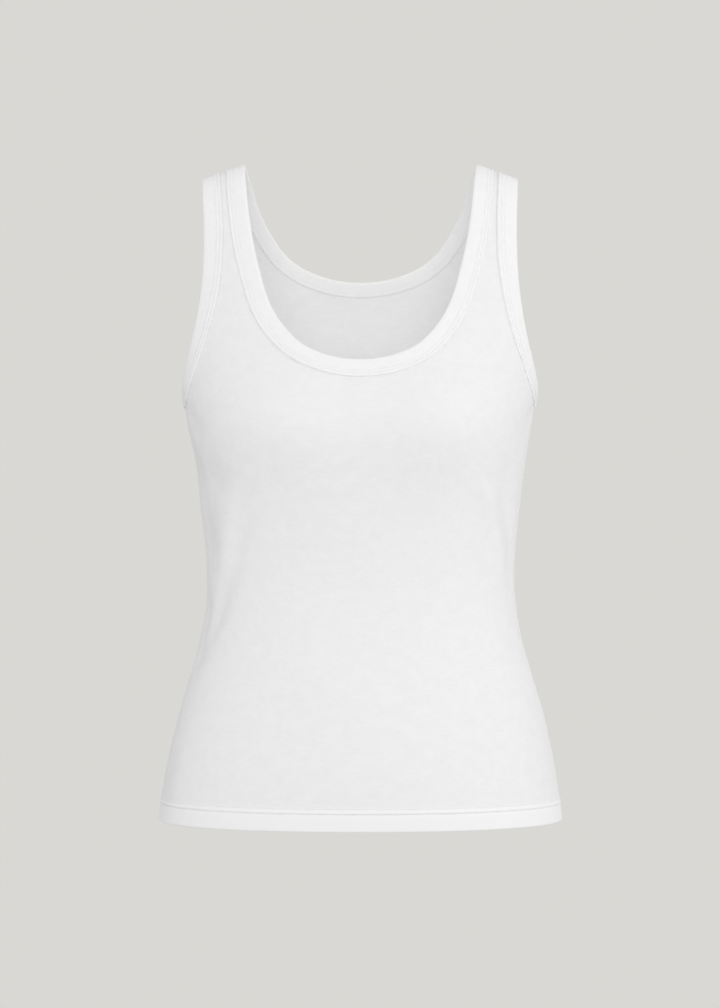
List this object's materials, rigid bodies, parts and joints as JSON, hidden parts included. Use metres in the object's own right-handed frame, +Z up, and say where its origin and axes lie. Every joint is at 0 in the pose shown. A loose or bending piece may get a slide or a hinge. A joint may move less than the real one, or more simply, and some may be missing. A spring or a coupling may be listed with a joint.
{
  "type": "tank top",
  "caption": "Sleeveless scoop-neck top in soft jersey with folded bindings at neck and armholes, a shaped waist and a turned-up hem, open at the bottom.",
  "frame": {"origin": "halfway between the two shoulder straps, level with the underside of each strap at the middle of its shoulder seam", "axes": "+Z up along the body, -Y out of the front, +X to the right of a viewer who faces the front"},
  "size_m": [0.3624, 0.232, 0.5891],
  "materials": {
    "jersey": "matte fine-gauge jersey knit",
    "binding_jersey": "matte fine-gauge jersey knit, folded and stitched"
  },
  "bodies": {
    "root": {"front_panel": "jersey", "back_panel": "jersey", "neck_binding": "binding_jersey", "armhole_binding_left": "binding_jersey", "armhole_binding_right": "binding_jersey"}
  },
  "joints": []
}
